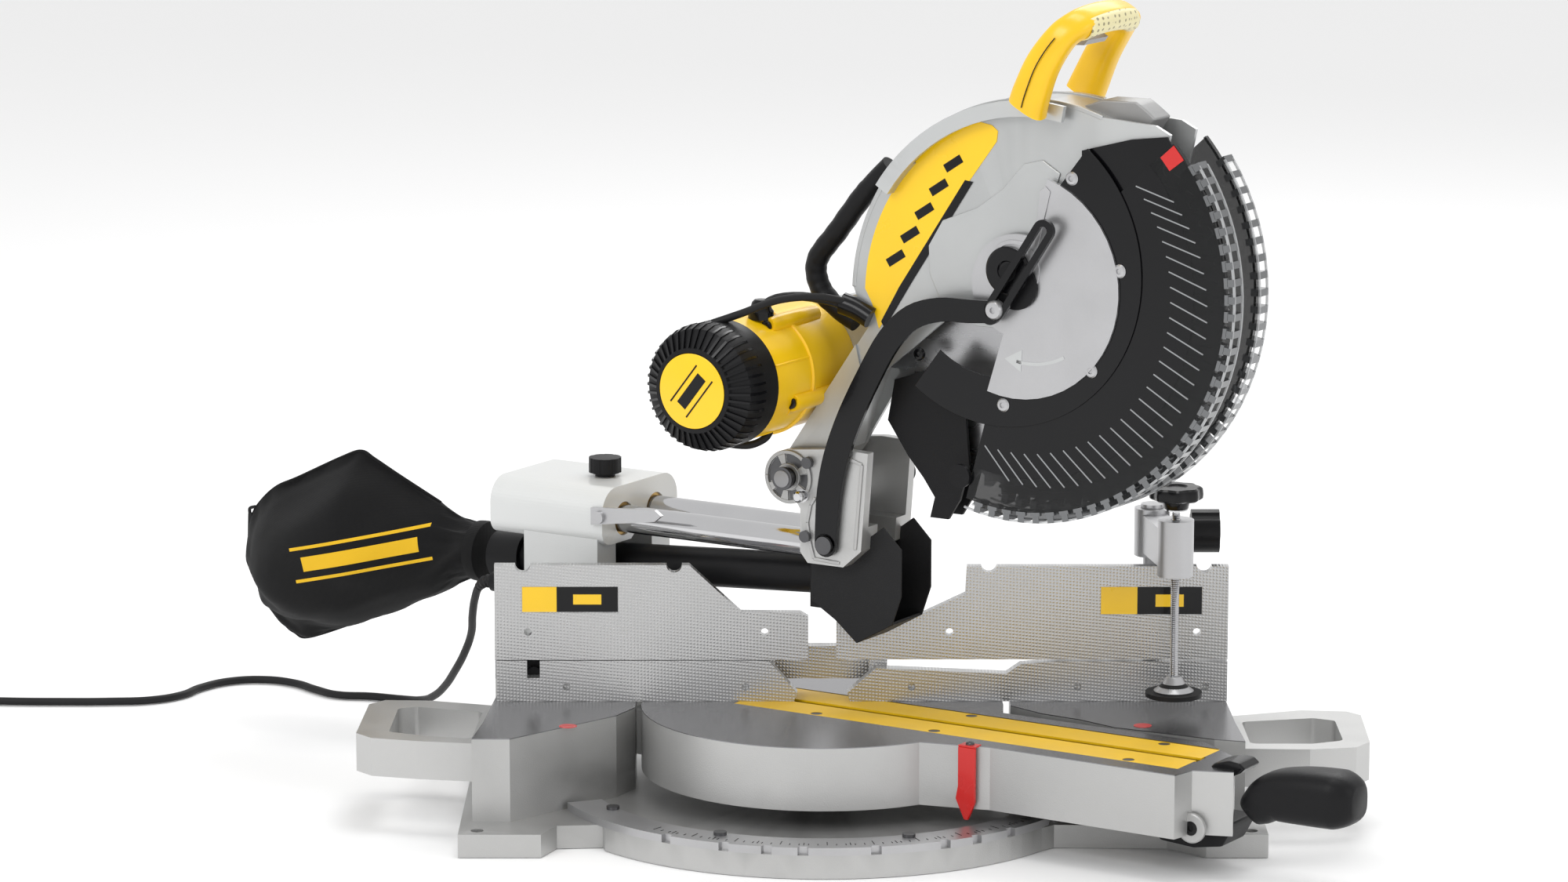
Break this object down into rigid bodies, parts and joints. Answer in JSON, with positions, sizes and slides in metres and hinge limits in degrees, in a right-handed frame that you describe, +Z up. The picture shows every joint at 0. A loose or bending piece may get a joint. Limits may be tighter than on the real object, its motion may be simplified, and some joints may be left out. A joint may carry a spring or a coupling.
{
  "type": "sliding miter saw",
  "caption": "Sliding compound miter saw with a mitring turntable, tilting rail housing, sliding chop head, guarded blade, split fence, work clamp and dust bag.",
  "frame": {"origin": "centre of the bench bolt hole pattern on the bench surface", "axes": "+Z up, +X to the operator's right, +Y away from the operator"},
  "size_m": [1.2613, 0.687, 0.6462],
  "materials": {
    "cast_aluminium": "satin",
    "painted_housing": "semi-gloss",
    "zinc_plate": "satin",
    "chrome_rail": "polished",
    "steel_fastener": "satin",
    "black_plastic": "matte",
    "yellow_plastic": "semi-gloss",
    "yellow_kerf": "matte",
    "red_pointer": "gloss",
    "smoked_plastic": "gloss",
    "blade_steel": "satin",
    "bag_fabric": "matte",
    "cord_rubber": "matte",
    "bronze": "satin",
    "copper_winding": "satin"
  },
  "bodies": {
    "base": {"base_casting": "cast_aluminium", "side_handle_left": "cast_aluminium", "side_handle_right": "cast_aluminium", "detent_plate": "zinc_plate", "base_screws": "steel_fastener", "fixed_fence": "cast_aluminium", "clamp_post": "zinc_plate", "pivot_bolt": "steel_fastener"},
    "fence_left": {"upper_fence_left": "cast_aluminium"},
    "fence_right": {"upper_fence_right": "cast_aluminium"},
    "knob_left": {"fence_knob_left": "black_plastic"},
    "knob_right": {"fence_knob_right": "black_plastic"},
    "clamp": {"clamp_arm": "black_plastic"},
    "clamp_lock": {"clamp_lock_knob": "black_plastic"},
    "clamp_spindle": {"clamp_screw": "chrome_rail"},
    "clamp_shoe": {"clamp_foot": "cord_rubber"},
    "turntable": {"turntable": "cast_aluminium", "kerf_plate_left": "yellow_kerf", "kerf_plate_right": "yellow_kerf", "kerf_screws": "steel_fastener", "miter_pointer": "red_pointer", "cord_gland": "black_plastic", "power_cord": "cord_rubber", "cord_coil": "cord_rubber", "power_plug": "cord_rubber", "bevel_bolt": "steel_fastener"},
    "miter_lock": {"miter_lock_lever": "black_plastic"},
    "detent_paddle": {"detent_override": "black_plastic"},
    "bevel_frame": {"rail_housing": "painted_housing", "rail_bushings": "bronze"},
    "bevel_lock": {"bevel_lock_lever": "black_plastic"},
    "rail_lock": {"rail_lock_knob": "black_plastic"},
    "slide_stop": {"slide_stop_lever": "zinc_plate"},
    "carriage": {"slide_rails": "chrome_rail", "pivot_bracket": "cast_aluminium", "dust_duct": "black_plastic", "dust_chute": "black_plastic", "dust_bag": "bag_fabric", "bracket_screws": "steel_fastener", "hub_pin": "steel_fastener"},
    "head_lock": {"head_lock_pin": "black_plastic"},
    "link": {"guard_link": "zinc_plate"},
    "head": {"upper_guard": "cast_aluminium", "dust_deflector": "black_plastic", "guard_pivot_cap": "black_plastic", "handle_shell_left": "yellow_plastic", "handle_shell_right": "yellow_plastic", "carry_handle": "black_plastic", "motor_housing": "yellow_plastic", "motor_end_cap": "black_plastic", "motor_cables": "cord_rubber", "belt_cover": "cast_aluminium"},
    "trigger": {"power_trigger": "black_plastic"},
    "spindle_button": {"spindle_lock": "black_plastic"},
    "rotor": {"motor_rotor": "copper_winding"},
    "blade": {"saw_blade": "blade_steel", "blade_flanges": "steel_fastener"},
    "guard": {"lower_guard": "smoked_plastic", "guard_plate": "zinc_plate"},
    "roller": {"guard_roller": "black_plastic"}
  },
  "joints": [
    {"name": "fence_left_slide", "type": "slide", "parent": "base", "child": "fence_left", "axis": [-1, 0, 0], "range_m": [0, 0.06]},
    {"name": "fence_right_slide", "type": "slide", "parent": "base", "child": "fence_right", "axis": [1, 0, 0], "range_m": [0, 0.06]},
    {"name": "fence_knob_left_turn", "type": "hinge", "parent": "base", "child": "knob_left", "pos_m": [-0.257, 0.0273, 0.103], "axis": [0, 1, 0], "range_deg": [0, 150]},
    {"name": "fence_knob_right_turn", "type": "hinge", "parent": "base", "child": "knob_right", "pos_m": [0.205, 0.0273, 0.103], "axis": [0, 1, 0], "range_deg": [0, 150]},
    {"name": "clamp_swivel", "type": "hinge", "parent": "base", "child": "clamp", "pos_m": [0.228, 0.042, 0.2], "axis": [0, 0, 1], "range_deg": [-20, 25]},
    {"name": "clamp_lock_turn", "type": "hinge", "parent": "clamp", "child": "clamp_lock", "pos_m": [0.258, 0.042, 0.213], "axis": [1, 0, 0], "range_deg": [-90, 90]},
    {"name": "clamp_feed", "type": "slide", "parent": "clamp", "child": "clamp_spindle", "axis": [0, 0, -1], "range_m": [0, 0.007]},
    {"name": "clamp_shoe_swivel", "type": "hinge", "parent": "clamp_spindle", "child": "clamp_shoe", "pos_m": [0.241, -0.035, 0.105], "axis": [0, 0, 1], "continuous": true},
    {"name": "miter_turn", "type": "hinge", "parent": "base", "child": "turntable", "pos_m": [-0.031, 0, 0.06], "axis": [0, 0, 1], "range_deg": [-108, 0]},
    {"name": "miter_lock_turn", "type": "hinge", "parent": "turntable", "child": "miter_lock", "pos_m": [0.28681, -0.20095, 0.046], "axis": [0.848, -0.5299, 0], "range_deg": [0, 40]},
    {"name": "detent_override_press", "type": "hinge", "parent": "turntable", "child": "detent_paddle", "pos_m": [0.27165, -0.19501, 0.0882], "axis": [0.5299, 0.848, 0], "range_deg": [0, 12], "stiffness_Nm_per_rad": 1.5, "springref_deg": -5.73},
    {"name": "bevel_tilt", "type": "hinge", "parent": "turntable", "child": "bevel_frame", "pos_m": [-0.20315, 0.10757, 0.0833], "axis": [-0.848, 0.5299, 0], "range_deg": [-9, 16]},
    {"name": "bevel_lock_turn", "type": "hinge", "parent": "bevel_frame", "child": "bevel_lock", "pos_m": [-0.24725, 0.13513, 0.0833], "axis": [-0.848, 0.5299, 0], "range_deg": [0, 60]},
    {"name": "rail_lock_turn", "type": "hinge", "parent": "bevel_frame", "child": "rail_lock", "pos_m": [-0.20315, 0.10757, 0.25], "axis": [0, 0, 1], "range_deg": [-180, 180]},
    {"name": "slide_stop_flip", "type": "hinge", "parent": "bevel_frame", "child": "slide_stop", "pos_m": [-0.20484, 0.0426, 0.224], "axis": [0.5299, 0.848, 0], "range_deg": [0, 38]},
    {"name": "carriage_slide", "type": "slide", "parent": "bevel_frame", "child": "carriage", "axis": [-0.848, 0.5299, 0], "range_m": [0, 0.155]},
    {"name": "head_lock_pull", "type": "slide", "parent": "carriage", "child": "head_lock", "axis": [0.5299, 0.848, 0], "range_m": [0, 0.01]},
    {"name": "head_chop", "type": "hinge", "parent": "carriage", "child": "head", "pos_m": [-0.03778, 0.00424, 0.27], "axis": [0.5299, 0.848, 0], "range_deg": [0, 44.5], "stiffness_Nm_per_rad": 60, "springref_deg": -51.57},
    {"name": "link_swing", "type": "hinge", "parent": "carriage", "child": "link", "pos_m": [-0.02845, -0.04876, 0.221], "axis": [0.5299, 0.848, 0], "range_deg": [0, 53.4]},
    {"name": "lower_guard_turn", "type": "hinge", "parent": "head", "child": "guard", "pos_m": [0.12928, -0.10015, 0.435], "axis": [0.5299, 0.848, 0], "range_deg": [-93, 0]},
    {"name": "guard_roller_spin", "type": "hinge", "parent": "guard", "child": "roller", "pos_m": [0.07251, -0.09888, 0.28473], "axis": [0.5299, 0.848, 0], "continuous": true},
    {"name": "trigger_squeeze", "type": "hinge", "parent": "head", "child": "trigger", "pos_m": [0.16575, -0.12294, 0.622], "axis": [-0.5299, -0.848, 0], "range_deg": [0, 5.5], "stiffness_Nm_per_rad": 0.6, "springref_deg": -5.73},
    {"name": "spindle_lock_press", "type": "slide", "parent": "head", "child": "spindle_button", "axis": [-0.5299, -0.848, 0], "range_m": [0, 0.003], "stiffness_N_per_m": 400, "springref_m": -0.001},
    {"name": "rotor_spin", "type": "hinge", "parent": "head", "child": "rotor", "pos_m": [-0.06068, 0.01855, 0.349], "axis": [0.5299, 0.848, 0], "continuous": true},
    {"name": "blade_spin", "type": "hinge", "parent": "head", "child": "blade", "pos_m": [0.13946, -0.10651, 0.415], "axis": [0.5299, 0.848, 0], "continuous": true}
  ],
  "couplings": [
    {"joint": "link_swing", "follows": "head_chop", "ratio": 1.198},
    {"joint": "lower_guard_turn", "follows": "head_chop", "ratio": -2.08},
    {"joint": "rotor_spin", "follows": "blade_spin", "ratio": 1.6}
  ]
}
